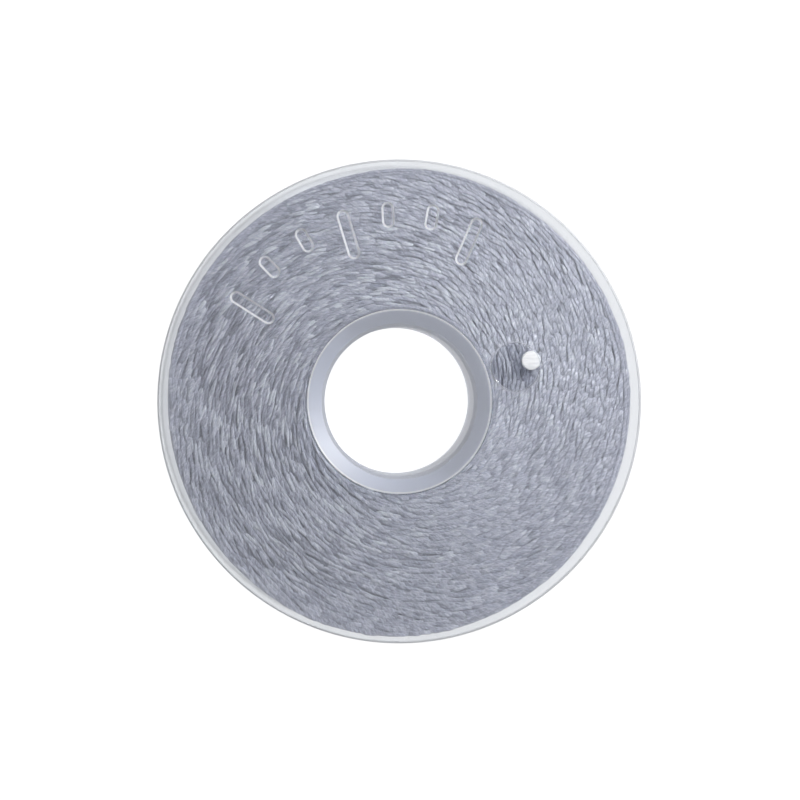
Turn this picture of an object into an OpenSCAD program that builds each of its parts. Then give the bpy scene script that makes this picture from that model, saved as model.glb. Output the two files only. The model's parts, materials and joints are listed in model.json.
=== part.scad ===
// Pre-wound sewing bobbin: a clear moulded spool in two press-fitted halves, filled with thread.
// The axis is +Z. The origin is on the axis at the outer face of the lower flange, where it rests.

/* [Spool] */
// Diameter of both flanges
flange_d = 20.4; // [19:0.1:22]
// Height over both flanges
spool_h = 8.9; // [8:0.1:12]
// Thickness of each flange
flange_t = 0.9; // [0.75:0.05:1.2]
// Radius of the rounded edges of each flange's rim
rim_round = 0.08; // [0.05:0.01:0.2]

/* [Hub] */
// Diameter of the bore that runs on the spindle
bore_d = 6.3; // [5.9:0.05:6.6]
// Wall thickness of the hub tube around the bore
hub_wall = 0.74; // [0.7:0.02:1]
// Depth of the shallow dish that each end of the hub is sunk into
dish_depth = 0.15; // [0.05:0.01:0.25]
// Width that the bore opens by at each mouth
mouth_bevel = 0.14; // [0.05:0.01:0.2]
// Length along the bore of each mouth's lead-in taper
mouth_lead = 0.6; // [0.2:0.05:0.8]
// Radius of the fillet where the hub meets each flange
hub_fillet = 0.2; // [0.1:0.05:0.3]
// Wall thickness of the spigot that joins the halves
spigot_wall = 0.34; // [0.28:0.02:0.4]
// Length of the spigot below the joint line
spigot_l = 2; // [1.5:0.1:2.5]
// Width of the lead-in bevel at the tip of the spigot
spigot_bevel = 0.1; // [0.05:0.01:0.15]
// Radial clearance of the spigot in its socket
spigot_clear = 0.01; // [0.01:0.01:0.03]
// Gap below the tip of the spigot
spigot_end_gap = 0.1; // [0.05:0.05:0.3]

/* [Gate well] */
// Diameter of the round well that keeps the moulding gate below the face
well_d = 2.05; // [1.6:0.05:2.3]
// Depth of the well
well_depth = 0.45; // [0.3:0.05:0.5]
// Distance from the axis to the middle of the well
well_r = 5.1; // [4.9:0.05:5.2]
// Angle of the well around the axis
well_angle = 16.5; // [0:0.5:45]
// Diameter of the stub that the gate left
pip_d = 0.8; // [0.6:0.05:1]
// Height of the stub above the floor of the well
pip_h = 0.4; // [0.2:0.05:0.4]
// Distance from the middle of the well to the middle of the stub
pip_out = 0.72; // [0.4:0.01:0.8]
// Angle of the stub around the well, from the line that runs straight outwards
pip_angle = 6; // [-30:1:30]

/* [Marks] */
// Number of plain strokes sunk into the upper face
mark_count = 7; // [3:1:9]
// Angle between neighbouring strokes
mark_pitch = 13.5; // [10:0.5:16]
// Angle of the middle of the row
mark_middle = 107; // [90:0.5:120]
// Distance from the axis to the middle of each long stroke
mark_r = 7.35; // [7.2:0.05:7.6]
// Length of a long stroke
mark_l = 2.15; // [1.6:0.05:2.4]
// Length of a short stroke
mark_short_l = 1.1; // [0.8:0.05:1.4]
// Width of a stroke
mark_w = 0.54; // [0.36:0.02:0.6]
// Depth of a stroke
mark_depth = 0.14; // [0.08:0.01:0.2]
// Width of the sloping wall of a stroke
mark_slope = 0.09; // [0.03:0.01:0.12]

/* [Thread] */
// Diameter of the thread
thread_d = 0.15; // [0.12:0.01:0.2]
// Depth of the filled spool's surface below the flange rims
fill_depth = 0.45; // [0.3:0.05:1]
// Clearance between the wound thread and the spool
thread_clear = 0.02; // [0.01:0.01:0.05]
// Least gap between neighbouring turns of the outer layer
turn_gap = 0.41; // [0.41:0.01:0.6]
// Radius of the bend where the outer layer leaves a flange
turn_bend = 0.3; // [0.2:0.05:0.4]

/* [Hidden] */
$fn = 96;
overcut = 0.5;

flange_r = flange_d / 2;
bore_r = bore_d / 2;
hub_r = bore_r + hub_wall;
spigot_r = bore_r + spigot_wall;
socket_r = spigot_r + spigot_clear;
joint_z = spool_h / 2;
spigot_z = joint_z - spigot_l;
upper_z = spool_h - flange_t;

rings_per_turn = 24;
thread_sides = 6;
bend_steps = 4;
filled_r = flange_r - fill_depth;
turn_r = filled_r - thread_d / 2;
// A turn is a chain of straight runs, so its middles dip below turn_r by this much.
turn_dip = turn_r * (1 - cos(180 / rings_per_turn));
package_r = turn_r - turn_dip - thread_d / 2 - thread_clear;
package_low = flange_t + thread_clear;
package_high = upper_z - thread_clear;
package_bevel = hub_fillet + thread_clear;

// ---- the two halves of the spool ----

// Half outline of one flange with rounded rim edges, its outer face at z = 0 and its inner at flange_t.
module flange_outline() {
    round_x = flange_r - rim_round;
    translate([bore_r, 0])
        square([round_x - bore_r, flange_t]);
    translate([bore_r, rim_round])
        square([flange_r - bore_r, flange_t - 2 * rim_round]);
    for (z = [rim_round, flange_t - rim_round])
        translate([round_x, z])
            circle(r = rim_round);
}

// Half outline of the fillet between the flange's inner face and the hub.
module fillet_outline() {
    difference() {
        translate([hub_r - hub_fillet / 2, flange_t - hub_fillet / 2])
            square(hub_fillet * 1.5);
        translate([hub_r + hub_fillet, flange_t + hub_fillet])
            circle(r = hub_fillet);
    }
}

// Half outline of what is cut away at a mouth of the bore: the dish, then the lead-in taper.
module mouth_cut_outline() {
    mouth_r = bore_r + mouth_bevel;
    dish_rise = overcut * dish_depth / (hub_r - mouth_r);
    taper_rise = overcut * mouth_lead / mouth_bevel;
    polygon([
        [bore_r - overcut, -dish_rise],
        [hub_r + overcut, -dish_rise],
        [mouth_r, dish_depth],
        [bore_r - overcut, dish_depth + mouth_lead + taper_rise]
    ]);
}

// One half of the spool without its joint: flange at z = 0, hub up to the joint line.
module half_blank() {
    rotate_extrude()
        difference() {
            union() {
                flange_outline();
                fillet_outline();
                translate([bore_r, 0])
                    square([hub_wall, joint_z]);
            }
            mouth_cut_outline();
        }
}

// The lower half ends in a socket for the other half's spigot.
module lower_half() {
    socket_z = spigot_z - spigot_end_gap;
    color("gainsboro", 0.5)
        difference() {
            half_blank();
            translate([0, 0, socket_z])
                cylinder(r = socket_r, h = joint_z - socket_z + overcut);
        }
}

// The spigot is rooted inside the upper half's hub wall, a wall's thickness above the joint line.
module spigot() {
    root_z = joint_z + spigot_wall;
    rotate_extrude()
        polygon([
            [bore_r, root_z],
            [bore_r, spigot_z],
            [spigot_r - spigot_bevel, spigot_z],
            [spigot_r, spigot_z + spigot_bevel],
            [spigot_r, root_z]
        ]);
}

// The upper half carries the spigot, the gate well and the sunk strokes.
module upper_half() {
    color("gainsboro", 0.5) {
        difference() {
            union() {
                translate([0, 0, spool_h])
                    mirror([0, 0, 1])
                        half_blank();
                spigot();
            }
            gate_well();
            marks();
        }
        gate_pip();
    }
}

module at_well() {
    rotate(well_angle)
        translate([well_r, 0, spool_h - well_depth])
            children();
}

module gate_well() {
    at_well()
        cylinder(d = well_d, h = well_depth + overcut);
}

// The stub stands on the floor of the well and stays below the face.
module gate_pip() {
    at_well()
        rotate(pip_angle)
            translate([pip_out, 0, 0])
                cylinder(d = pip_d, h = pip_h);
}

// A sunk stroke with round ends and sloping walls, its long middle line on X and its mouth at z = 0.
module stroke(length) {
    mouth_r = mark_w / 2;
    floor_r = mouth_r - mark_slope;
    reach = length / 2 - mouth_r;
    rise = overcut * mark_slope / mark_depth;
    rotate([90, 0, 90])
        translate([0, 0, -reach])
            linear_extrude(2 * reach)
                polygon([
                    [-floor_r, -mark_depth],
                    [floor_r, -mark_depth],
                    [mouth_r + rise, overcut],
                    [-mouth_r - rise, overcut]
                ]);
    for (x = [-reach, reach])
        translate([x, 0, -mark_depth])
            cylinder(r1 = floor_r, r2 = mouth_r + rise, h = mark_depth + overcut);
}

// A row of radial strokes like a plain scale: every third is long, and all share their outer ends.
module marks() {
    outer_end = mark_r + mark_l / 2;
    for (i = [0:mark_count - 1]) {
        length = i % 3 == 0 ? mark_l : mark_short_l;
        rotate(mark_middle + ((mark_count - 1) / 2 - i) * mark_pitch)
            translate([outer_end - length / 2, 0, spool_h])
                stroke(length);
    }
}

// ---- the thread ----

// The wound thread under the outer layer, as one ring between the flanges.
module thread_package() {
    inner_r = hub_r + thread_clear;
    color("slategray")
        rotate_extrude()
            polygon([
                [inner_r + package_bevel, package_low],
                [package_r, package_low],
                [package_r, package_high],
                [inner_r + package_bevel, package_high],
                [inner_r, package_high - package_bevel],
                [inner_r, package_low + package_bevel]
            ]);
}

// The outer layer is drawn on an unrolled sheet first, with s around the package and z up it.
// It leaves the lower flange upright, bends into the winding, and meets the upper flange the same way.
wound_h = upper_z - flange_t - 2 * (thread_d + turn_bend);
turns = floor(wound_h / (thread_d + turn_gap));
sheet_end = turns * 360 * turn_r * PI / 180;
lean = atan(wound_h / sheet_end);

function lower_bend() = [
    for (i = [0:bend_steps])
        let (u = (90 - lean) * i / bend_steps)
            [turn_bend * (1 - cos(u)), flange_t + thread_d + turn_bend * sin(u)]
];

function turned_about(p, middle) = [2 * middle[0] - p[0], 2 * middle[1] - p[1]];

function sheet_path() =
    let (
        middle = [sheet_end / 2, spool_h / 2],
        low = concat([[0, flange_t]], lower_bend()),
        start = low[len(low) - 1],
        high = [for (i = [len(low) - 1:-1:0]) turned_about(low[i], middle)],
        steps = turns * rings_per_turn
    )
    concat(low, [for (i = [1:steps - 1]) start + (high[0] - start) * i / steps], high);

function rolled(p) =
    let (a = p[0] / turn_r * 180 / PI)
    [turn_r * cos(a), turn_r * sin(a), p[1]];

function unit(v) = v / norm(v);

// Direction of a path at point i, from its neighbours. The end stretches run upright.
function heading(path, i) =
    i <= 1 || i >= len(path) - 2 ? [0, 0, 1] : unit(path[i + 1] - path[i - 1]);

// A ring of points round point i of a path that lies on a cylinder about Z.
function ring(path, i) =
    let (
        out = unit([path[i][0], path[i][1], 0]),
        across = cross(heading(path, i), out)
    )
    [
        for (k = [0:thread_sides - 1])
            let (a = 360 * k / thread_sides)
                path[i] + thread_d / 2 * (cos(a) * out + sin(a) * across)
    ];

// A closed tube of triangles round a path.
module thread_along(path) {
    last = len(path) - 1;
    points = [for (i = [0:last]) each ring(path, i)];
    walls = [
        for (i = [0:last - 1], k = [0:thread_sides - 1])
            let (
                a = i * thread_sides + k,
                b = i * thread_sides + (k + 1) % thread_sides
            )
            each [[a, b, b + thread_sides], [a, b + thread_sides, a + thread_sides]]
    ];
    low_end = [for (k = [1:thread_sides - 2]) [0, k + 1, k]];
    top = last * thread_sides;
    high_end = [for (k = [1:thread_sides - 2]) [top, top + k, top + k + 1]];
    polyhedron(points, concat(walls, low_end, high_end));
}

// Least gap of the tube to itself, measured between points more than half a turn apart.
function least_gap(path) =
    min([
        for (i = [0:len(path) - 1], j = [i + rings_per_turn / 2:1:len(path) - 1])
            norm(path[i] - path[j])
    ]) - thread_d;

module outer_turns() {
    path = [for (p = sheet_path()) rolled(p)];
    echo("turns in the outer layer", turns, "least gap to itself in mm", least_gap(path));
    color("lightslategray")
        thread_along(path);
}

upper_half();
lower_half();
thread_package();
outer_turns();
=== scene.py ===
# %% [markdown]
# # A pre-wound bobbin: clear polystyrene sides, polyester filament thread
#
# A pre-wound bobbin is a small clear spool that leaves the factory full of thread. The spool is
# two mouldings pressed together at the middle of the hub, and the thread is one continuous
# filament yarn wound in many layers. Looking onto a flange you see through the plastic to the
# place where each layer turns round, so the face of the winding is a swirl of short, slanting
# bits of thread. This lesson builds that spool, that swirl and their finishes.

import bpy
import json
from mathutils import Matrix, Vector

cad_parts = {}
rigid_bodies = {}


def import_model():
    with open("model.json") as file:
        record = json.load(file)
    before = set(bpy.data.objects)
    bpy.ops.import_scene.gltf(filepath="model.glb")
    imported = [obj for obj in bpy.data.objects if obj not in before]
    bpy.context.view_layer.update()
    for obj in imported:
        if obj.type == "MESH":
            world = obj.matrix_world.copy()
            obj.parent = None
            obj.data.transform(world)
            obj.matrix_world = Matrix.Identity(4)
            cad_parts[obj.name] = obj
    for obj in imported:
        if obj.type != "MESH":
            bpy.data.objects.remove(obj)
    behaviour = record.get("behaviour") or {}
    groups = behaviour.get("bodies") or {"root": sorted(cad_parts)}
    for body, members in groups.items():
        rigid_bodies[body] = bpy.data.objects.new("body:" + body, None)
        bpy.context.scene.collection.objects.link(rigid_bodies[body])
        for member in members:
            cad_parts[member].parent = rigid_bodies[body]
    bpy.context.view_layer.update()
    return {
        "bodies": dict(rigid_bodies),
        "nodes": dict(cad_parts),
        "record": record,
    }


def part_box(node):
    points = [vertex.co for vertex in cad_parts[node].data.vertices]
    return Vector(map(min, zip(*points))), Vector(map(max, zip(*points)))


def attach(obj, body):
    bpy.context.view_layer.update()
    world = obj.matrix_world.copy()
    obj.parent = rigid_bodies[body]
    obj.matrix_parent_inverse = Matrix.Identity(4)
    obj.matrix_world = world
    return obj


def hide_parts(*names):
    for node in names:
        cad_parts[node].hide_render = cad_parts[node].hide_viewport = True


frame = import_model()

import json
import math

import bpy
import numpy as np
from mathutils import Matrix, Vector

BODY = next(iter(frame["bodies"]))
print("body:", BODY, "nodes:", sorted(frame["nodes"]))

# %% [markdown]
# ## Sizes
# The frame gives the outer sizes, so they are read from it: the flange from its own box, and
# the winding from the box of its outer turns, which reach from one flange to the other. Sizes
# that no box shows, such as the hub's wall, are named here in millimetres.

# %% Sizes in millimetres
MM = 0.001


def corners_mm(node):
    """Lowest and highest corner of a CAD node, in millimetres."""
    return [np.array(corner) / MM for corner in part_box(node)]


FLANGE_R = corners_mm("upper_half")[1][0]
SPOOL_H = corners_mm("upper_half")[1][2]
FACE_LOW, FACE_HIGH = (corner[2] for corner in corners_mm("outer_turns"))
FILLED_R = corners_mm("outer_turns")[1][0]
BORE_R = frame["record"]["mounts"][0]["dims"]["r_mm"]

RIM_ROUND = 0.08
DISH_DEPTH = 0.15
MOUTH_BEVEL = 0.14
MOUTH_LEAD = 0.6
HUB_WALL = 0.74
HUB_R = BORE_R + HUB_WALL
HUB_FILLET = 0.2
SPIGOT_WALL = 0.34
SPIGOT_R = BORE_R + SPIGOT_WALL
SPIGOT_LENGTH = 2.0
SPIGOT_BEVEL = 0.1
SPIGOT_END_GAP = 0.1
AIR_FILM = 0.01  # the film of air that stays between two pressed faces
JOINT_Z = SPOOL_H / 2
THREAD_D = 0.15
print(f"flange r {FLANGE_R:.2f}, height {SPOOL_H:.2f}, bore r {BORE_R:.2f}")
print(f"winding r {FILLED_R:.2f}, between z {FACE_LOW:.2f} and {FACE_HIGH:.2f}")

# %% [markdown]
# ## Camera
# The camera stands about 240 mm above the flange and looks almost straight down the bore. It is
# a little to the left of the axis, which is why a sliver of the bore's far wall shows on the
# right of the hole. A long lens keeps the round flange round. The rotation is built from three
# axes, because aiming tools that keep the horizon level have no level to keep when they look
# straight down.

# %% Camera
CAMERA_MM = np.array([-5.25, 1.2, SPOOL_H + 240.0])
AIM_MM = np.array([0.02, 0.06, SPOOL_H])
FRAME_WIDTH_MM = 33.7  # how much of the flange's plane the picture takes in

camera_data = bpy.data.cameras.new("camera")
camera = bpy.data.objects.new("camera", camera_data)
bpy.context.scene.collection.objects.link(camera)
bpy.context.scene.camera = camera

back = Vector(CAMERA_MM - AIM_MM).normalized()
right = Vector((0, 1, 0)).cross(back).normalized()
up = back.cross(right)
turn = Matrix((right, up, back)).transposed().to_4x4()
camera.matrix_world = Matrix.Translation(Vector(CAMERA_MM * MM)) @ turn
distance = np.linalg.norm(CAMERA_MM - AIM_MM)
camera_data.angle = 2 * math.atan(FRAME_WIDTH_MM / 2 / distance)
camera_data.clip_start = 10 * MM
print(f"lens {camera_data.lens:.0f} mm, view {math.degrees(camera_data.angle):.2f} degrees wide")

# %% [markdown]
# ## Helpers for materials
# Colours are picked in sRGB, as on a screen, but shaders add up light, so one function turns a
# hex colour linear. Another adds a node, sets its values and joins it to others, which keeps
# every material short enough to read as a recipe. A third spreads colours over a ramp.

# %% Colour and node helpers


def linear(hex_colour):
    """An sRGB colour such as "#A0A4B0" as linear red, green, blue and 1."""
    parts = [int(hex_colour[i : i + 2], 16) / 255 for i in (1, 3, 5)]
    return (*[c / 12.92 if c <= 0.04045 else ((c + 0.055) / 1.055) ** 2.4 for c in parts], 1.0)


def add(tree, kind, settings=None, **sockets):
    """A new node. settings are its options; sockets are values, or other nodes' outputs."""
    node = tree.nodes.new(kind)
    for name, value in (settings or {}).items():
        setattr(node, name, value)
    for name, value in sockets.items():
        key = int(name[1:]) if name[1:].isdigit() else name.replace("_", " ")
        socket = node.inputs[key]
        if isinstance(value, bpy.types.NodeSocket):
            tree.links.new(value, socket)
        else:
            socket.default_value = value
    return node


def colour_ramp(tree, factor, *stops):
    """The colour that a ramp gives; its stops are pairs of a place and a hex colour."""
    ramp = add(tree, "ShaderNodeValToRGB", Fac=factor)
    elements = ramp.color_ramp.elements
    for place, _ in stops[1:-1]:
        elements.new(place)
    for element, (place, hex_colour) in zip(elements, stops):
        element.position, element.color = place, linear(hex_colour)
    return ramp.outputs["Color"]


def new_material(name):
    """An empty material with its node tree, ready for a recipe."""
    material = bpy.data.materials.new(name)
    material.use_nodes = True
    material.node_tree.nodes.clear()
    return material, material.node_tree


print("a mid grey, linear:", round(linear("#808080")[0], 3))

# %% [markdown]
# ## Polyester filament
# The thread is two plies of continuous trilobal polyester, dyed blue-grey. The fibres are
# smooth, so each ply shines along its side like satin: a low roughness gives the narrow shine,
# and a little sheen stands for the fuzz. The dye takes unevenly, so no two bits have quite the
# same grey. The colour comes from a tone stored on each bit of thread, which also carries painted
# shade where thread lies deeper, and a bump of fine lines follows the fibres, which wrap the
# thread at a slant. A real fibre is about 0.02 mm across, too fine to show, so the lines are
# drawn at about 0.06 mm.

# %% Polyester filament material
FIBRE_MM = 0.06
FIBRE_RUN_MM = 0.4  # how far one line runs along the thread
FIBRE_RELIEF_MM = 0.012
FIBRE_TWIST = 1.1  # turns round the thread in each millimetre
STREAK_TONE = 0.22  # how much the lines change the tone, up and down
POLYESTER_IOR = 1.58


def filament_material(name, deep, mid, light):
    """Satin thread from three sRGB colours: the darkest, which also paints shade in the gaps, then
    most of it, then where it is palest.
    """
    material, tree = new_material(name)
    uv = add(tree, "ShaderNodeUVMap", {"uv_map": "UVMap"}).outputs["UV"]
    # u is millimetres along the thread and v is 0 to 1 round it; a twist joins the two.
    u, v, _ = add(tree, "ShaderNodeSeparateXYZ", i0=uv).outputs
    twist = {"operation": "MULTIPLY_ADD"}
    turned = add(tree, "ShaderNodeMath", twist, i0=u, i1=FIBRE_TWIST, i2=v)
    lines = add(tree, "ShaderNodeCombineXYZ", i0=u, i1=turned.outputs[0])
    fibres_round = math.pi * THREAD_D / FIBRE_MM
    drawn_out = add(
        tree,
        "ShaderNodeMapping",
        Vector=lines.outputs[0],
        Scale=(1 / FIBRE_RUN_MM, fibres_round, 1.0),
    )
    fibres = add(
        tree,
        "ShaderNodeTexNoise",
        {"noise_dimensions": "2D"},
        Vector=drawn_out.outputs[0],
        Scale=1.0,
        Detail=1.0,
        Roughness=0.6,
    ).outputs["Fac"]
    tone = add(tree, "ShaderNodeAttribute", {"attribute_name": "tone"}).outputs["Fac"]
    streak = add(
        tree,
        "ShaderNodeMapRange",
        Value=fibres,
        i1=0.3,
        i2=0.7,
        i3=-STREAK_TONE,
        i4=STREAK_TONE,
    )
    shade = add(tree, "ShaderNodeMath", {"operation": "ADD"}, i0=tone, i1=streak.outputs[0])
    # Low tones reach the darkest colour, which also serves as painted shade in the gaps.
    colour = colour_ramp(tree, shade.outputs[0], (0.0, deep), (0.5, mid), (1.0, light))
    relief = FIBRE_RELIEF_MM * MM
    bump = add(tree, "ShaderNodeBump", Height=fibres, Strength=0.9, Distance=relief)
    skin = add(
        tree,
        "ShaderNodeBsdfPrincipled",
        Base_Color=colour,
        Normal=bump.outputs[0],
        Roughness=0.14,
        IOR=POLYESTER_IOR,
        Metallic=0.0,
        Sheen_Weight=0.15,
        Sheen_Roughness=0.4,
    )
    add(tree, "ShaderNodeOutputMaterial", Surface=skin.outputs[0])
    return material


THREAD = filament_material("blue_grey_polyester_filament", "#7C7D86", "#A8A8B3", "#D8D9DE")
print("made", THREAD.name)

# %% [markdown]
# ## Clear polystyrene
# The spool is general-purpose polystyrene, injection moulded: clear as glass with an index of
# 1.59, slightly blue, and never quite perfect. Handling leaves a faint haze and hairlines, and
# the cooling melt leaves very low ripples. Most of the light goes straight through, and a small
# diffuse share stands for the haze. Shadow rays pass it as if it were a tinted pane, because
# light that has to find its way through a lens by chance would leave the thread noisy.
#
# One recipe gives seven finishes, because the eye tells the parts of a moulding by how clear
# each is. The near flange is handled and a little hazed, and the far half is cleaner. The gate
# well has a polished floor whose tint is darkened as painted shade of the recess, so the thread
# under it looks sharp and dark, and a frosted wall, which draws a soft pale ring. The pin that
# makes the bore leaves it satin. Etched walls give each stroke its thin pale outline, and rims
# that rub in a case are the least clear of all.

# %% Clear polystyrene materials
HAIRLINE_MM, HAIRLINE_RELIEF_MM = 0.09, 0.002
RIPPLE_MM, RIPPLE_RELIEF_MM = 1.6, 0.02
POLYSTYRENE_IOR = 1.59


def light_through(tree, shader, tint_hex):
    """Ends a recipe: shadow rays pass as through a tinted pane, all others meet the shader."""
    pane = add(tree, "ShaderNodeBsdfTransparent", Color=linear(tint_hex))
    rays = add(tree, "ShaderNodeLightPath").outputs["Is Shadow Ray"]
    both = add(tree, "ShaderNodeMixShader", i0=rays, i1=shader.outputs[0], i2=pane.outputs[0])
    add(tree, "ShaderNodeOutputMaterial", Surface=both.outputs[0])


def drawn_out_noise(tree, scale, turn, grain_mm, detail):
    """Noise that is stretched and turned in the face's plane, as scratches and streaks are."""
    place = add(tree, "ShaderNodeTexCoord").outputs["Object"]
    lines = add(tree, "ShaderNodeMapping", Vector=place, Scale=scale, Rotation=(0, 0, turn))
    grain = 1 / (grain_mm * MM)
    noise = add(tree, "ShaderNodeTexNoise", Vector=lines.outputs[0], Scale=grain, Detail=detail)
    return noise.outputs["Fac"]


def polystyrene_material(name, body_hex, clarity, roughness, shadow_hex):
    """Clear moulded polystyrene. clarity is the share of light that isn't lost in haze."""
    material, tree = new_material(name)
    place = add(tree, "ShaderNodeTexCoord").outputs["Object"]
    ripples = add(
        tree, "ShaderNodeTexNoise", Vector=place, Scale=1 / (RIPPLE_MM * MM), Detail=0.0
    )
    low = add(
        tree,
        "ShaderNodeBump",
        Height=ripples.outputs["Fac"],
        Strength=0.35,
        Distance=RIPPLE_RELIEF_MM * MM,
    )
    fine = add(
        tree,
        "ShaderNodeBump",
        Height=drawn_out_noise(tree, (1.0, 0.5, 1.0), 0.6, HAIRLINE_MM, 1.0),
        Strength=0.3,
        Distance=HAIRLINE_RELIEF_MM * MM,
        Normal=low.outputs[0],
    )
    clear = add(
        tree,
        "ShaderNodeBsdfPrincipled",
        Base_Color=linear(body_hex),
        Normal=fine.outputs[0],
        Roughness=roughness,
        IOR=POLYSTYRENE_IOR,
        Metallic=0.0,
        Transmission_Weight=clarity,
    )
    light_through(tree, clear, shadow_hex)
    return material


CLEAR = polystyrene_material("clear_polystyrene", "#E5E7EA", 0.95, 0.085, "#F2F4F7")
CLEAN = polystyrene_material("clean_clear_polystyrene", "#F5F6F8", 0.97, 0.04, "#F4F6F9")
# The well floor's darker body tint is painted shade of the recess.
SHADE_TINTED_POLISHED = polystyrene_material("polished_clear_polystyrene", "#BCBEC4", 1.0, 0.02, "#F0F2F5")
FROSTED = polystyrene_material("frosted_polystyrene", "#F0F2F5", 0.75, 0.18, "#F4F6F9")
SATIN = polystyrene_material("satin_polystyrene", "#D3D7E2", 0.5, 0.35, "#E6E9EE")
WALLS = polystyrene_material("etched_polystyrene_walls", "#FAFBFC", 0.45, 0.3, "#F4F6F9")
RUBBED = polystyrene_material("rubbed_polystyrene_rims", "#DFE1E3", 0.3, 0.4, "#F4F6F9")
for finish in (CLEAR, CLEAN, SHADE_TINTED_POLISHED, FROSTED, SATIN, WALLS, RUBBED):
    print("made", finish.name)

# %% [markdown]
# ## Whitened gate stub
# Where the moulding was torn from its runner, a short stub stays. Bending and tearing polystyrene
# opens thousands of tiny cracks that scatter light, so the stub is chalk white with fine streaks
# along the tear. It looks opaque, yet its shadow is pale, because light sinks in and comes through.

# %% Stress-whitened polystyrene material
TEAR_MM, TEAR_RELIEF_MM = 0.16, 0.02


def whitened_material():
    """Chalk-white polystyrene with streaks along the tear."""
    material, tree = new_material("stress_whitened_polystyrene")
    streaks = drawn_out_noise(tree, (0.35, 1.4, 1.0), -0.35, TEAR_MM, 2.0)
    relief = TEAR_RELIEF_MM * MM
    bump = add(tree, "ShaderNodeBump", Height=streaks, Strength=0.5, Distance=relief)
    chalk = add(
        tree,
        "ShaderNodeBsdfPrincipled",
        Base_Color=colour_ramp(tree, streaks, (0.35, "#E4E6E9"), (0.6, "#F9FAFC")),
        Normal=bump.outputs[0],
        Roughness=0.5,
        IOR=POLYSTYRENE_IOR,
        Metallic=0.0,
    )
    light_through(tree, chalk, "#D4D6D9")
    return material


WHITENED = whitened_material()
print("made", WHITENED.name)

# %% [markdown]
# ## Mesh helpers
# A moulded spool is a body of revolution, so its half outline is turned about the axis, as on a
# lathe. The outline is a closed loop of radius and height, walked anticlockwise, and every
# round edge is an arc. Faces are shaded smooth, and edges sharper than 30 degrees stay sharp.
# Smooth shading would bend light over the whole of a wide flat face that ends in a round edge,
# so each straight stretch gets a point close to either end, and the bend stays beyond them.

# %% Lathe
STEPS_ROUND = 256
CREASE = math.radians(30)


def mesh_object(name, vertices_mm, faces, material):
    """A new object whose mesh is given in millimetres."""
    mesh = bpy.data.meshes.new(name)
    mesh.from_pydata((np.asarray(vertices_mm) * MM).tolist(), [], faces)
    mesh.update()
    mesh.shade_smooth()
    mesh.set_sharp_from_angle(angle=CREASE)
    mesh.materials.append(material)
    piece = bpy.data.objects.new(name, mesh)
    bpy.context.scene.collection.objects.link(piece)
    return piece


def arc(centre, radius, start, end, steps=8):
    """Points of an arc in the outline's plane, angles in degrees."""
    angles = np.radians(np.linspace(start, end, steps + 1))
    return [(centre[0] + radius * math.cos(a), centre[1] + radius * math.sin(a)) for a in angles]


def hold_flats(outline, margin=0.004):
    """Adds a point near both ends of each straight stretch, so a flat stays flat when smoothed."""
    held = []
    for start, end in zip(outline, np.roll(outline, -1, axis=0)):
        length = np.linalg.norm(end - start)
        held.append(start)
        if length > 10 * margin:
            along = (end - start) * margin / length
            held += [start + along, end - along]
    return np.array(held)


def lathe(name, outline, material):
    """Turns a closed outline of (radius, height) points about the axis."""
    outline = hold_flats(np.array(outline))
    angles = np.linspace(0, 2 * math.pi, STEPS_ROUND, endpoint=False)
    ring = np.stack([np.cos(angles), np.sin(angles)], axis=1)
    vertices = np.empty((STEPS_ROUND, len(outline), 3))
    vertices[:, :, :2] = ring[:, None, :] * outline[None, :, :1]
    vertices[:, :, 2] = outline[None, :, 1]
    count = len(outline)
    faces = []
    for i in range(STEPS_ROUND):
        near, far = i * count, (i + 1) % STEPS_ROUND * count
        for k in range(count):
            following = (k + 1) % count
            faces.append((near + k, far + k, far + following, near + following))
    return mesh_object(name, vertices.reshape(-1, 3), faces, material)


def finish_where(piece, finish, chosen):
    """Gives a second finish to the faces whose middle, as radius and height in mm, is chosen."""
    faces = piece.data.polygons
    middles = np.empty(len(faces) * 3)
    faces.foreach_get("center", middles)
    x, y, z = (middles.reshape(-1, 3) / MM).T
    slots = np.zeros(len(faces), dtype=np.int32)
    faces.foreach_get("material_index", slots)
    slots[chosen(np.hypot(x, y), z)] = len(piece.data.materials)
    piece.data.materials.append(finish)
    faces.foreach_set("material_index", slots)


print("lathe turns an outline in", STEPS_ROUND, "steps")

# %% [markdown]
# ## Where each finish goes
# The core pin and the joint leave the hub's inner surfaces satin, so the tube reads as a soft
# grey ring and not as a lens. The high edge of the dish at each end of the hub rubs pale, and so
# does the rounded edge of each rim, which draws the bright line round the flange. Faces are
# chosen by where their middles lie, with a small margin to keep off the faces beside them.

# %% Places of the finishes
DISH_EDGE = 0.06  # width of the edge of each dish that has rubbed pale
DISH_REACH = 0.1  # how far from each end of the spool that edge may lie
HUB_MARGIN, DISH_MARGIN, RIM_MARGIN = 0.02, 0.005, 0.002


def inside_hub(radius, height):
    """All that is nearer the axis than the hub's outer wall."""
    return radius < HUB_R - HUB_MARGIN


def on_dish_edge(radius, height):
    """The high edge of the dish at either end."""
    near_edge = np.abs(radius - HUB_R + DISH_EDGE / 2) < DISH_EDGE / 2 + DISH_MARGIN
    return near_edge & (np.abs(height - JOINT_Z) > JOINT_Z - DISH_REACH)


def on_rim_edge(radius, height):
    """The rounded edges of the rim, without the upright band between them."""
    return (radius > FLANGE_R - RIM_ROUND) & (radius < FLANGE_R - RIM_MARGIN)


def finish_half(half):
    """Gives a half its satin bore, its pale dish edge and its rubbed rim."""
    for finish, chosen in ((SATIN, inside_hub), (WALLS, on_dish_edge), (RUBBED, on_rim_edge)):
        finish_where(half, finish, chosen)
    print(half.name, len(half.data.polygons), "faces,", len(half.data.materials), "finishes")


print("pale edges:", DISH_EDGE, "mm at each dish and", RIM_ROUND, "mm at each rim")

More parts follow.
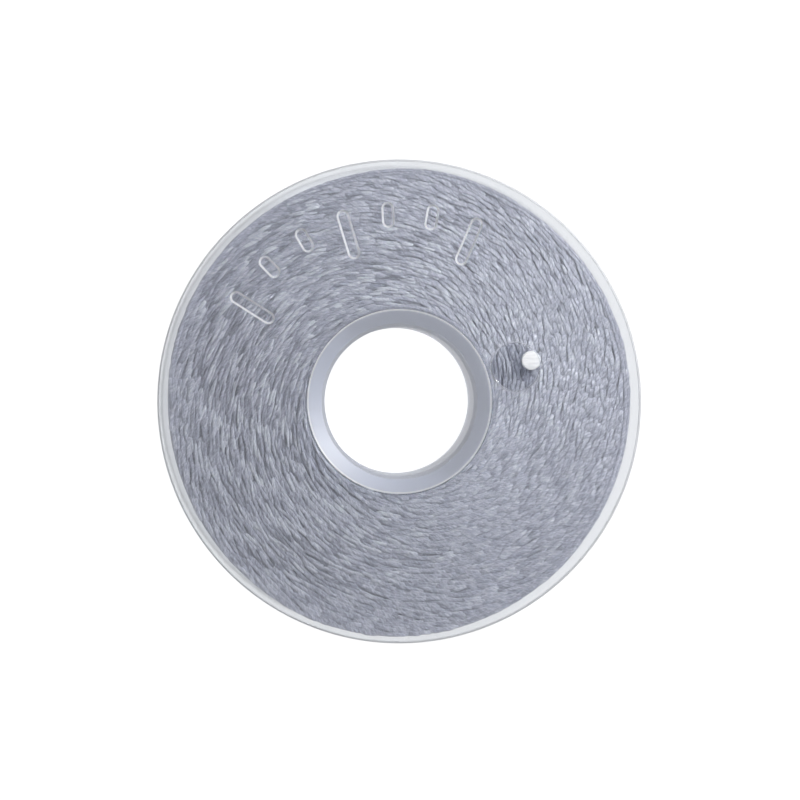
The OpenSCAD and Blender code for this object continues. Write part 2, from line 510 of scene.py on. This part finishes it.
# %% [markdown]
# ## The lower half
# Each half is a flat flange with a rounded rim and half of the hub tube. The lower half ends in
# a socket. Both halves keep the sizes of the CAD parts that they stand for. They are turned
# again here, finer than the frame, because clear plastic bends light by its surface's direction
# and shows every flat that a coarse mesh has.

# %% Lower half
dish_drop = DISH_DEPTH * DISH_EDGE / (HUB_R - BORE_R - MOUTH_BEVEL)  # at the dish edge's foot
lower_outline = [
    (BORE_R + MOUTH_BEVEL, DISH_DEPTH),
    (HUB_R - DISH_EDGE, dish_drop),
    (HUB_R, 0),
    *arc((FLANGE_R - RIM_ROUND, RIM_ROUND), RIM_ROUND, -90, 0),
    *arc((FLANGE_R - RIM_ROUND, FACE_LOW - RIM_ROUND), RIM_ROUND, 0, 90),
    *arc((HUB_R + HUB_FILLET, FACE_LOW + HUB_FILLET), HUB_FILLET, 270, 180),
    (HUB_R, JOINT_Z - AIR_FILM / 2),
    (SPIGOT_R + AIR_FILM, JOINT_Z - AIR_FILM / 2),
    (SPIGOT_R + AIR_FILM, JOINT_Z - SPIGOT_LENGTH - SPIGOT_END_GAP),
    (BORE_R, JOINT_Z - SPIGOT_LENGTH - SPIGOT_END_GAP),
    (BORE_R, DISH_DEPTH + MOUTH_LEAD),
]
lower_half = lathe("clear_lower_half", lower_outline, CLEAN)
finish_half(lower_half)

# %% [markdown]
# ## The upper half
# The upper half has the same flange and hub, and ends in a spigot, a thinner tube that is
# pressed into the socket. A film of air stays between the pressed faces, so that light bends
# at each of them as it does between two real mouldings.

# %% Upper half, before its cuts
top = SPOOL_H
flange_t = top - FACE_HIGH
upper_outline = [
    (HUB_R, top),
    (HUB_R - DISH_EDGE, top - dish_drop),
    (BORE_R + MOUTH_BEVEL, top - DISH_DEPTH),
    (BORE_R, top - DISH_DEPTH - MOUTH_LEAD),
    (BORE_R, JOINT_Z - SPIGOT_LENGTH),
    (SPIGOT_R - SPIGOT_BEVEL, JOINT_Z - SPIGOT_LENGTH),
    (SPIGOT_R, JOINT_Z - SPIGOT_LENGTH + SPIGOT_BEVEL),
    (SPIGOT_R, JOINT_Z + AIR_FILM / 2),
    (HUB_R, JOINT_Z + AIR_FILM / 2),
    *arc((HUB_R + HUB_FILLET, top - flange_t - HUB_FILLET), HUB_FILLET, 180, 90),
    *arc((FLANGE_R - RIM_ROUND, top - flange_t + RIM_ROUND), RIM_ROUND, -90, 0),
    *arc((FLANGE_R - RIM_ROUND, top - RIM_ROUND), RIM_ROUND, 0, 90),
]
upper_half = lathe("clear_upper_half", upper_outline, CLEAR)
finish_half(upper_half)

# %% [markdown]
# ## Gate well and strokes
# The moulding gate is kept below the face in a round well, and a row of plain strokes is sunk
# into the face. Each gets a cutter of its own, shaped like the hollow, and the cutter's faces
# carry the finish that the hollow's faces will have. The strokes have sloped, etched walls and
# floors as clear as the face, so only their outlines show. The well has a polished floor, a
# frosted wall, a small round where they meet and a mouth that is broken like a worn edge.

# %% Cutters
WELL_R, WELL_DEPTH = 1.025, 0.45
WELL_AT, WELL_ANGLE = 5.1, 16.5  # how far from the axis, and at what angle
WELL_ROUND, WELL_ROUND_STEPS, WELL_BREAK = 0.08, 4, 0.05
MARK_COUNT, MARK_START, MARK_PITCH = 7, 147.5, 13.5  # the row, in degrees
MARK_OUTER_END, MARK_LONG, MARK_SHORT = 8.425, 2.15, 1.1
MARK_LONG_EVERY = 3
MARK_W, MARK_DEPTH, MARK_SLOPE = 0.54, 0.14, 0.09
OVERCUT = 0.3


def polar(radius, degrees, height):
    """A point in millimetres from its distance to the axis, its angle and its height."""
    a = math.radians(degrees)
    return np.array([radius * math.cos(a), radius * math.sin(a), height])


def stacked_outlines(name, outlines, floor_finish, wall_finish, floor_levels=0):
    """A closed solid through outlines of equal length; its lowest levels belong to the floor."""
    count = len(outlines[0])
    faces = [tuple(reversed(range(count)))]
    for level in range(len(outlines) - 1):
        for k in range(count):
            following = (k + 1) % count
            a, b = level * count, (level + 1) * count
            faces.append((a + k, a + following, b + following, b + k))
    faces.append(tuple(range((len(outlines) - 1) * count, len(outlines) * count)))
    solid = mesh_object(name, np.concatenate(outlines), faces, floor_finish)
    solid.data.materials.append(wall_finish)
    for face in solid.data.polygons[1 + floor_levels * count : -1]:
        face.material_index = 1
    return solid


def stadium(length, radius, height, steps=16):
    """The outline of a stroke with round ends, long along X."""
    reach = length / 2
    right_end = arc((reach, 0), radius, -90, 90, steps)
    left_end = arc((-reach, 0), radius, 90, 270, steps)
    return np.array([(x, y, height) for x, y in right_end + left_end])


def stroke_cutter(degrees, length):
    """A cutter for one stroke: narrow at its floor, wide at its mouth."""
    reach = length - MARK_W
    rise = MARK_SLOPE * OVERCUT / MARK_DEPTH
    levels = [
        stadium(reach, MARK_W / 2 - MARK_SLOPE, top - MARK_DEPTH),
        stadium(reach, MARK_W / 2, top),
        stadium(reach, MARK_W / 2 + rise, top + OVERCUT),
    ]
    a = math.radians(degrees)
    spin = np.array([[math.cos(a), -math.sin(a), 0], [math.sin(a), math.cos(a), 0], [0, 0, 1]])
    shift = polar(MARK_OUTER_END - length / 2, degrees, 0)
    levels = [level @ spin.T + shift for level in levels]
    return stacked_outlines("stroke_cutter", levels, CLEAR, WALLS)


def well_cutter(steps=72):
    """A cutter for the gate well, round where wall and floor meet and broken at its mouth."""
    centre = polar(WELL_AT, WELL_ANGLE, 0)
    round_centre = (WELL_R - WELL_ROUND, top - WELL_DEPTH + WELL_ROUND)
    mouth_r = WELL_R + WELL_BREAK
    profile = [
        *arc(round_centre, WELL_ROUND, -90, 0, WELL_ROUND_STEPS),
        (WELL_R, top - WELL_BREAK),
        (mouth_r, top),
        (mouth_r + OVERCUT, top + OVERCUT),
    ]
    angles = np.linspace(0, 2 * math.pi, steps, endpoint=False)
    levels = []
    for radius, height in profile:
        ring = [(radius * math.cos(a), radius * math.sin(a), height) for a in angles]
        levels.append(np.array(ring) + centre)
    # The floor finish is tinted darker: painted shade of the recess.
    return stacked_outlines("well_cutter", levels, SHADE_TINTED_POLISHED, FROSTED, WELL_ROUND_STEPS)


cutters = [well_cutter()]
for i in range(MARK_COUNT):
    length = MARK_SHORT if i % MARK_LONG_EVERY else MARK_LONG
    cutters.append(stroke_cutter(MARK_START - MARK_PITCH * i, length))
print(len(cutters), "cutters")

# %% [markdown]
# ## Cutting the hollows
# A mould has a raised core for each hollow of the moulding, and a Boolean modifier works the
# same way: it takes a cutter's shape out of the half. Its exact solver copes with shallow cuts,
# and the transfer setting hands the cutters' finishes to the faces that they leave.

# %% Cut the upper half


def cut(piece, tools):
    """Cuts every tool out of piece, keeps the result as plain mesh and removes the tools."""
    for tool in tools:
        modifier = piece.modifiers.new(tool.name, "BOOLEAN")
        modifier.operation = "DIFFERENCE"
        modifier.solver = "EXACT"
        modifier.material_mode = "TRANSFER"
        modifier.object = tool
    graph = bpy.context.evaluated_depsgraph_get()
    mesh = bpy.data.meshes.new_from_object(piece.evaluated_get(graph))
    piece.modifiers.clear()
    piece.data = mesh
    mesh.shade_smooth()
    mesh.set_sharp_from_angle(angle=CREASE)
    for tool in tools:
        bpy.data.objects.remove(tool)
    print(piece.name, len(mesh.polygons), "faces,", len(mesh.materials), "finishes")


cut(upper_half, cutters)

# %% [markdown]
# ## The gate's stub
# The stub stands in the well, off its centre, and ends just below the face, where the runner
# was torn away. It is a short pin with a rounded edge and a crown that dips a little.

# %% Gate stub
PIP_R, PIP_H = 0.4, 0.4
PIP_ROUND, PIP_ROUND_STEPS, PIP_DIP = 0.05, 4, 0.02
PIP_OUT, PIP_ANGLE = 0.72, 6  # from the well's centre, and from the well's own angle
PIP_LIFT = 0.004  # a hair above the floor, so that two faces never share a place

pip_floor = top - WELL_DEPTH + PIP_LIFT
round_centre = (PIP_R - PIP_ROUND, pip_floor + PIP_H - PIP_ROUND)
pip_outline = [
    (0.0, pip_floor),
    (PIP_R, pip_floor),
    *arc(round_centre, PIP_ROUND, 0, 90, PIP_ROUND_STEPS),
    (0.0, pip_floor + PIP_H - PIP_DIP),
]


def spun_solid(name, outline, centre, material, steps=48):
    """A solid of revolution about an upright line; its outline starts and ends on that line."""
    rings = outline[1:-1]
    angles = np.linspace(0, 2 * math.pi, steps, endpoint=False)
    vertices = [centre + np.array([0, 0, outline[0][1]])]
    for radius, height in rings:
        for a in angles:
            vertices.append(centre + np.array([radius * math.cos(a), radius * math.sin(a), height]))
    vertices.append(centre + np.array([0, 0, outline[-1][1]]))
    last = len(vertices) - 1
    faces = []
    for k in range(steps):
        following = (k + 1) % steps
        faces.append((0, 1 + following, 1 + k))
        for level in range(len(rings) - 1):
            a, b = 1 + level * steps, 1 + (level + 1) * steps
            faces.append((a + k, a + following, b + following, b + k))
        crown = 1 + (len(rings) - 1) * steps
        faces.append((crown + k, crown + following, last))
    return mesh_object(name, vertices, faces, material)


stub_centre = polar(WELL_AT, WELL_ANGLE, 0) + polar(PIP_OUT, WELL_ANGLE + PIP_ANGLE, 0)
gate_stub = spun_solid("gate_stub", pip_outline, stub_centre, WHITENED)
print(gate_stub.name, "at", np.round(stub_centre, 2), "mm")

# %% [markdown]
# ## Thread as tubes
# Everything wound is swept tubes: a path, a ring of points round each of its points, and walls
# between the rings. The rings are squarish, because thread that is pressed against its
# neighbours is, and they may be flat and may taper along the bit. One function makes any number
# of equal-length tubes at once with NumPy. Another lays the UV map, in millimetres along the
# thread and once round it, for the fibres to follow.

# %% Rings and fibre map
TUBE_SHIFT_MM = 7.3  # each tube starts this much further along the fibres, so that none repeats


def tube_rings(paths, normals, width, height, sides):
    """Corners (tube, point, side, xyz) of a squarish ring round each point of the paths."""
    width, height = np.reshape(width, (len(paths), -1, 1, 1)), np.reshape(height, (-1, 1, 1, 1))
    tangents = np.gradient(paths, axis=1)
    tangents /= np.linalg.norm(tangents, axis=2, keepdims=True)
    across = np.cross(tangents, normals)
    across /= np.linalg.norm(across, axis=2, keepdims=True)
    outward = np.cross(across, tangents)
    angles = 2 * math.pi * (np.arange(sides) + 0.5) / sides
    level, upright = (np.sign(v) * np.sqrt(np.abs(v)) for v in (np.cos(angles), np.sin(angles)))
    return (
        paths[:, :, None, :]
        + width / 2 * level[:, None] * across[:, :, None, :]
        + height / 2 * upright[:, None] * outward[:, :, None, :]
    )


def fibre_map(paths, sides):
    """UVs for the corners of all walls: millimetres along each tube, and 0 to 1 round it."""
    lengths = np.linalg.norm(np.diff(paths, axis=1), axis=2).cumsum(axis=1)
    lengths = np.concatenate([np.zeros((len(paths), 1)), lengths], axis=1)
    along = lengths + TUBE_SHIFT_MM * np.arange(len(paths))[:, None]
    u = np.stack([along[:, :-1], along[:, :-1], along[:, 1:], along[:, 1:]], axis=-1)
    u = np.repeat(u[:, :, None, :], sides, axis=2)
    low = np.arange(sides) / sides
    v = np.stack([low, low + 1 / sides, low + 1 / sides, low], axis=-1)
    return np.stack([u, np.broadcast_to(v, u.shape)], axis=-1).reshape(-1, 2)


print("each tube's fibres start", TUBE_SHIFT_MM, "mm after those of the one before")

# %% [markdown]
# ## From rings to a mesh
# Thousands of tubes go into one mesh. Its corners and faces are handed over as whole arrays,
# which takes a moment where adding them one by one takes minutes. Every point also stores the
# tone of its bit of thread, which the thread's material reads.

# %% Tube sweeper
TUBE_CREASE = math.radians(80)


def sweep(name, paths, normals, width, height, tones, material, sides=8):
    """Closed tubes along paths (tube, point, xyz), with squarish rings turned to normals."""
    tubes, points, _ = paths.shape
    rings = tube_rings(paths, normals, width, height, sides)
    index = np.arange(tubes * points * sides).reshape(tubes, points, sides)
    near, far = index[:, :-1], index[:, 1:]
    walls = np.stack([near, np.roll(near, -1, 2), np.roll(far, -1, 2), far], axis=-1)
    walls = walls.reshape(-1, 4)
    ends = np.concatenate([index[:, 0, ::-1], index[:, -1, :]], axis=0)
    corners = np.concatenate([walls.ravel(), ends.ravel()])
    sizes = np.concatenate([np.full(len(walls), 4), np.full(len(ends), sides)])
    starts = np.concatenate([[0], np.cumsum(sizes)[:-1]])
    end_uv = np.tile([[0.0, 0.5]], (ends.size, 1))
    uv_of_corners = np.concatenate([fibre_map(paths, sides), end_uv])

    mesh = bpy.data.meshes.new(name)
    mesh.vertices.add(rings.size // 3)
    mesh.vertices.foreach_set("co", (rings.reshape(-1) * MM).astype(np.float32))
    mesh.loops.add(len(corners))
    mesh.loops.foreach_set("vertex_index", corners.astype(np.int32))
    mesh.polygons.add(len(sizes))
    mesh.polygons.foreach_set("loop_start", starts.astype(np.int32))
    uv = mesh.uv_layers.new(name="UVMap")
    uv.data.foreach_set("uv", uv_of_corners.ravel().astype(np.float32))
    tone = mesh.attributes.new("tone", "FLOAT", "POINT")
    tone.data.foreach_set("value", np.repeat(tones, points * sides).astype(np.float32))
    mesh.update(calc_edges=True)
    mesh.validate()
    mesh.shade_smooth()
    mesh.set_sharp_from_angle(angle=TUBE_CREASE)
    mesh.materials.append(material)
    piece = bpy.data.objects.new(name, mesh)
    bpy.context.scene.collection.objects.link(piece)
    print(name, tubes, "tubes,", len(mesh.polygons), "faces")
    return piece


print("only edges sharper than", round(math.degrees(TUBE_CREASE)), "degrees stay sharp on a tube")

# %% [markdown]
# ## How the winding lies
# A machine winds fast, and the thread's pull is never the same all round. So the winding is a
# little fuller on some sides, and its end faces are tight and level on one side and loose, with
# deep gaps, on the other. Smooth waves of chance, added up from sines, make patches of a few
# millimetres in both.

# %% Fuller sides and loose patches
LOOSE_SIDE = math.radians(160)  # where the winding is loosest
MID_R, MID_SPAN = 8.4, 3.0  # looseness differs less from side to side beyond MID_R
# Where the winding is fuller: angle and half width in degrees, and height in millimetres.
BULGES = ((262, 42, 0.21), (82, 17, 0.12), (150, 35, 0.06), (15, 40, 0.04))


def waves(radius, angle, seed, fineness=1):
    """A smooth value from -1 to 1 that changes over a few millimetres of the face, or less."""
    rng = np.random.default_rng(seed)
    value = np.zeros_like(radius)
    for _ in range(6):
        round_count = rng.integers(1, 6) * fineness
        outward = rng.uniform(0.3, 1.4) * fineness
        value += np.sin(round_count * angle + outward * radius + rng.uniform(0, 2 * math.pi))
    return np.tanh(value / 2.4)


def filled_radius(angle):
    """The winding's outer radius at an angle, because it is a little fuller on some sides."""
    radius = np.full_like(angle, FILLED_R)
    for middle, width, height in BULGES:
        off = (np.degrees(angle) - middle + 180) % 360 - 180
        radius += height * np.exp(-((off / width) ** 2))
    return radius


def looseness(radii, angles):
    """How the thread lies: 0 is tight and level, 1 is loose with deep gaps."""
    inner = np.clip((MID_R - radii) / MID_SPAN, -0.5, 0.5)
    loose = 0.4 + 0.15 * inner + (0.35 + 0.35 * inner) * np.cos(angles - LOOSE_SIDE)
    return np.clip(loose + 0.3 * waves(radii, angles, seed=41), 0, 1)


fullest = max(height for _, _, height in BULGES)
print("the winding is up to", fullest, "mm fuller on its fullest side")

# %% [markdown]
# ## The swirl at the end faces
# At a flange each layer of the winding turns round: the thread rises to the plastic, lies
# against it for a millimetre or so while it steps out by one layer, and dives back in. So the
# bits of thread that show are short, overlap like scales, and all slant the same way. They are
# set out in rows, one for each layer, with the jitter a real winding has. Tight bits are pressed
# wide and flat, and loose ones stay round, tilt more, sink deeper and differ more in tone. A
# second, sunken set fills the gaps of the first, with a lower tone that paints the shade there.

# %% Turn-rounds
ROW_STEP = 0.116  # layers sit a little closer than a thread's width
BAND_STEP = 0.4  # about every third layer stands proud
SLANT = math.radians(9.5)
OUTWARD_TILT = 9.0  # degrees: the bits overlap like tiles and lean outwards
FACE_GAP = 0.01  # between the plastic and the highest thread
DIVE = 0.1  # how much deeper the ends of each bit lie
TAPER = 0.55  # how much narrower the ends of each bit are
POINTS_ALONG = 5


def scatter_rows(rng, ring, spacing):
    """Radii and angles of bits in rows one layer apart, out to the winding's edge."""
    radii, angles = [], []
    for row_r in np.arange(*ring, ROW_STEP):
        count = int(2 * math.pi * row_r / spacing)
        start = rng.uniform(0, 2 * math.pi)
        places = np.arange(count) + rng.uniform(-0.4, 0.4, count)
        angles.append(start + 2 * math.pi * places / count)
        radii.append(np.full(count, row_r))
    radii, angles = np.concatenate(radii), np.concatenate(angles)
    kept = radii < filled_radius(angles) - THREAD_D / 3
    return radii[kept], angles[kept]


def turn_rounds(name, face_z, facing, ring, seed, spacing, sunk, tone):
    """Short slanting bits of thread that cover a ring of one end face. facing is 1 up, -1 down."""
    rng = np.random.default_rng(seed)
    radii, angles = scatter_rows(rng, ring, spacing)
    count = len(radii)
    loose = looseness(radii, angles)
    radii = radii + (0.01 + 0.055 * loose) * rng.normal(0, 1, count)
    band = np.sin(2 * math.pi * radii / BAND_STEP + 3.0 * waves(radii, angles, seed=5))

    # The way of each bit over the face, from -1 at its start to 1 at its end.
    half = spacing * rng.uniform(0.45, 1.0, count)
    slant = SLANT + np.radians(rng.normal(0, 5.5, count) + 2.0 * waves(radii, angles, seed=7))
    tilt = np.radians(OUTWARD_TILT + (1.5 + 4 * loose) * rng.normal(0, 1, count))
    way = np.linspace(-1, 1, POINTS_ALONG)[None, :]
    reach = half[:, None] * way
    path_r = radii[:, None] + facing * reach * np.sin(slant)[:, None]
    path_a = angles[:, None] + reach * np.cos(slant)[:, None] / radii[:, None]
    path_r = np.clip(path_r, HUB_R + THREAD_D / 2, filled_radius(path_a) - THREAD_D / 2)

    # How deep it lies under the plastic, and which way its flat side faces.
    sag = (0.05 + 1.6 * loose) * np.abs(rng.normal(0, 0.035, count)) + 0.01 * (1 + band)
    depth = THREAD_D * 0.5 + FACE_GAP + sunk + sag[:, None] + DIVE * np.abs(way) ** 3
    path_z = face_z - facing * depth
    paths = np.stack([path_r * np.cos(path_a), path_r * np.sin(path_a), path_z], axis=-1)
    outward = np.sin(tilt)[:, None]
    upward = np.broadcast_to(facing * np.cos(tilt)[:, None], path_a.shape)
    normals = np.stack([outward * np.cos(path_a), outward * np.sin(path_a), upward], axis=-1)

    # Its tone, from the set's base tone (lower for the sunken set, as painted shade), from chance,
    # from the band it lies in, from patches and from its radius.
    patches = waves(radii, angles, seed=19, fineness=6) + waves(radii, angles, seed=29, fineness=14)
    tones = tone + (0.02 + 0.1 * loose) * rng.normal(0, 1, count) - 0.06 * band * loose
    tones += (0.06 + 0.14 * loose) * patches
    tones -= 0.02 * (radii - 7)
    tones = np.clip(tones, 0.02, 0.98)

    widths = THREAD_D * rng.uniform(0.75, 1.15, count) * (1.25 - 0.4 * loose)
    widths = widths[:, None] * (1 - TAPER * np.abs(way) ** 3)
    heights = THREAD_D * (0.2 + 0.4 * loose)
    return sweep(name, paths, normals, widths, heights, tones, THREAD)


print("rows", ROW_STEP, "mm apart, slanting", round(math.degrees(SLANT), 1), "degrees")

# %% [markdown]
# ## Covering both faces
# Each face has two sets of bits, and each set is two meshes, near the hub and near the rim, so
# that no single mesh is very large.

# %% Four rings of bits on each face
TOP_SET = {"spacing": 0.62, "sunk": 0.0, "tone": 0.6}
# Painted shade: the sunken set has a lower tone than the top set.
SHADE_TONED_SUNKEN_SET = {"spacing": 0.9, "sunk": 0.07, "tone": 0.5}
RINGS_MEET = 7.3
INNER_RING, OUTER_RING = (HUB_R + 0.12, RINGS_MEET), (RINGS_MEET, FILLED_R + 0.25)

face_pieces = []
for side, face_z, facing, seed in (("upper", FACE_HIGH, 1, 11), ("lower", FACE_LOW, -1, 23)):
    for place, ring in (("inner", INNER_RING), ("outer", OUTER_RING)):
        spot = (face_z, facing, ring)
        name = f"{side}_face_{place}"
        face_pieces.append(turn_rounds(f"{name}_thread", *spot, seed, **TOP_SET))
        face_pieces.append(turn_rounds(f"{name}_sunk_thread", *spot, seed + 1, **SHADE_TONED_SUNKEN_SET))
        seed += 2
print(len(face_pieces), "meshes of turn-rounds")

# %% [markdown]
# ## Turns round the side and on the hub
# Between the flanges the thread lies in close turns. Each layer climbs from one flange to the
# other and the next climbs back, so two layers with opposite lean are wound, one on the other,
# with a little wander in the pitch that lets the lower one show in places. Both follow the
# winding's fuller sides. A layer on the hub itself shows through the clear tube, and that one
# is round, because the hub is.

# %% Wound layers
TURN_PITCH, HUB_PITCH = 0.156, 0.154  # a hair more than the thread's width
END_GAP = 0.1  # from the last turn's middle to the flange
FLUTTER = 0.012  # how far a turn's radius swings in and out
FULLER_FROM_R = HUB_R + 1  # layers beyond this radius follow the fuller sides
SWINGS = 14  # slow sines that make up the wander


def wound_layer(name, radius, pitch, lean, wander, seed, rings=96):
    """One thread wound from flange to flange. lean is 1 or -1, wander is in millimetres."""
    rng = np.random.default_rng(seed)
    low, high = FACE_LOW + END_GAP, FACE_HIGH - END_GAP
    turns = int((high - low) / pitch)
    travel = np.linspace(0, 1, turns * rings + 1)
    angle = lean * 2 * math.pi * turns * travel + seed
    drift = np.zeros_like(travel)
    for _ in range(SWINGS):
        swing = rng.uniform(0.2, 3.2) * turns
        drift += rng.normal(0, 1) * np.sin(2 * math.pi * (swing * travel + rng.uniform()))
    ease = np.minimum(1, 12 * np.minimum(travel, 1 - travel))  # no wander at the flanges
    height = low + (high - low) * travel + wander * ease * drift / 4
    out = radius + FLUTTER * np.sin(angle * 0.37 + seed) * ease
    if radius > FULLER_FROM_R:
        out += filled_radius(angle) - FILLED_R
    path = np.stack([out * np.cos(angle), out * np.sin(angle), height], axis=-1)[None]
    normals = np.stack([np.cos(angle), np.sin(angle), np.zeros_like(angle)], axis=-1)[None]
    length_m = np.linalg.norm(np.diff(path[0], axis=0), axis=1).sum() * MM
    print(f"{name}: {turns} turns, {length_m:.2f} m of thread")
    return sweep(name, path, normals, THREAD_D, THREAD_D, np.array([0.5]), THREAD)


outer_r = FILLED_R - THREAD_D / 2 - FLUTTER
under_r = FILLED_R - 1.4 * THREAD_D
hub_layer_r = HUB_R + THREAD_D / 2 + 0.02
outer_layer = wound_layer("outer_thread_layer", outer_r, TURN_PITCH, 1, 0.05, seed=3)
under_layer = wound_layer("second_thread_layer", under_r, TURN_PITCH, -1, 0.03, seed=5)
hub_layer = wound_layer("hub_thread_layer", hub_layer_r, HUB_PITCH, 1, 0.01, seed=9)

# %% [markdown]
# ## The body of the winding
# Under the visible thread lies the rest of it, seen only in the gaps. It is one turned ring,
# just below the tubes on every side, and its tone, near the thread's darkest, is painted shade
# for the gaps.

# %% Winding body
BODY_GAP = 0.22
# Painted shade: the ground under the thread is toned near darkest for the shade in the gaps.
GAP_SHADE_TONE = 0.12  # nearly the darkest of the thread's colours
body_r = FILLED_R - 1.6 * THREAD_D
body_outline = [
    (HUB_R + BODY_GAP, FACE_LOW + BODY_GAP),
    (body_r, FACE_LOW + BODY_GAP),
    (body_r, FACE_HIGH - BODY_GAP),
    (HUB_R + BODY_GAP, FACE_HIGH - BODY_GAP),
]
winding_body = lathe("winding_body", body_outline, THREAD)
body_mesh = winding_body.data
body_mesh.uv_layers.new(name="UVMap")
tone = body_mesh.attributes.new("tone", "FLOAT", "POINT")
tone.data.foreach_set("value", np.full(len(body_mesh.vertices), GAP_SHADE_TONE, dtype=np.float32))
print(winding_body.name, len(body_mesh.polygons), "faces")

# %% [markdown]
# ## The table
# The bobbin stands on a plain white table. The table gives off a little light of its own, like
# the light table that small clear parts are shown on, so it shines up through the bore, the hub
# tube and the rim. Its paper has a faint grain.

# %% Floor
GRAIN_PER_M = 900.0  # specks of about a millimetre
TABLE_GLOW = 0.97
FLOOR_HALF = 600.0
FLOOR_GAP = 0.01  # a film of air stays between the flange and the table

floor_material, tree = new_material("white_light_table")
place = add(tree, "ShaderNodeTexCoord").outputs["Object"]
grain = add(tree, "ShaderNodeTexNoise", Vector=place, Scale=GRAIN_PER_M)
paper = colour_ramp(tree, grain.outputs["Fac"], (0.0, "#707173"), (1.0, "#7C7D7F"))
matte = add(tree, "ShaderNodeBsdfDiffuse", Color=paper)
glow = add(tree, "ShaderNodeEmission", Color=linear("#FFFFFF"), Strength=TABLE_GLOW)
table = add(tree, "ShaderNodeAddShader", i0=matte.outputs[0], i1=glow.outputs[0])
add(tree, "ShaderNodeOutputMaterial", Surface=table.outputs[0])

floor_corners = [(x, y, 0) for x, y in ((-1, -1), (1, -1), (1, 1), (-1, 1))]
floor_corners = np.array(floor_corners) * FLOOR_HALF - np.array([0, 0, FLOOR_GAP])
floor = mesh_object("floor", floor_corners, [(0, 1, 2, 3)], floor_material)
print("floor", 2 * FLOOR_HALF, "mm square")

# %% [markdown]
# ## The light
# A soft key lamp stands up to the right and shapes every bit of thread. A small lamp near it
# lays narrow highlights on the satin fibres, which a large lamp would blur. A large, weak lamp
# on the other side keeps the shadows open, and a pale sky, darker overhead, does the rest.

# %% Lamps and sky


def lamp(name, azimuth, elevation, distance_mm, size_mm, watts, colour):
    """A square soft lamp aimed at the bobbin; azimuth runs anticlockwise from the right."""
    data = bpy.data.lights.new(name, "AREA")
    data.size = size_mm * MM
    data.energy = watts
    data.color = linear(colour)[:3]
    e = math.radians(elevation)
    place = Vector(polar(distance_mm * math.cos(e), azimuth, distance_mm * math.sin(e)) * MM)
    obj = bpy.data.objects.new(name, data)
    bpy.context.scene.collection.objects.link(obj)
    obj.location = place
    obj.rotation_mode = "QUATERNION"
    obj.rotation_quaternion = (-place).to_track_quat("-Z", "Y")
    obj.visible_camera = False


# Name, azimuth and elevation in degrees, distance and size in millimetres, watts and colour.
LAMPS = (
    ("key_lamp", 42, 46, 80, 45, 0.0235, "#FFFFFF"),
    ("glint_lamp", 32, 62, 80, 5, 0.0205, "#FFFFFF"),
    ("fill_lamp", 200, 60, 450, 300, 0.05, "#F8F9FF"),
)
SKY_STRENGTH = 0.385
for settings in LAMPS:
    lamp(*settings)

world = bpy.data.worlds.new("studio")
world.use_nodes = True
sky = world.node_tree
sky.nodes.clear()
direction = add(sky, "ShaderNodeTexCoord").outputs["Generated"]
height = add(sky, "ShaderNodeSeparateXYZ", i0=direction).outputs[2]
blend = add(sky, "ShaderNodeMapRange", Value=height, i1=-0.2, i2=1.0)
pale = colour_ramp(sky, blend.outputs[0], (0.0, "#FFFFFF"), (1.0, "#BFC1C7"))
light = add(sky, "ShaderNodeBackground", Color=pale, Strength=SKY_STRENGTH)
add(sky, "ShaderNodeOutputWorld", Surface=light.outputs[0])
bpy.context.scene.world = world
bpy.context.scene.view_settings.view_transform = "Standard"
print(len(LAMPS), "lamps and a pale sky")

# %% [markdown]
# ## Fixing the pieces to the body
# Every piece is fixed to the one body. The turned halves and the wound thread stand for the CAD
# parts in the same place, which are hidden.

# %% Attach the pieces
thread_pieces = [*face_pieces, under_layer, hub_layer, winding_body]
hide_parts("lower_half")
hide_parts("upper_half")
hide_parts("thread_package")
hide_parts("outer_turns")
for piece in (lower_half, upper_half, gate_stub):
    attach(piece, BODY)
for piece in (outer_layer, *thread_pieces):
    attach(piece, BODY)
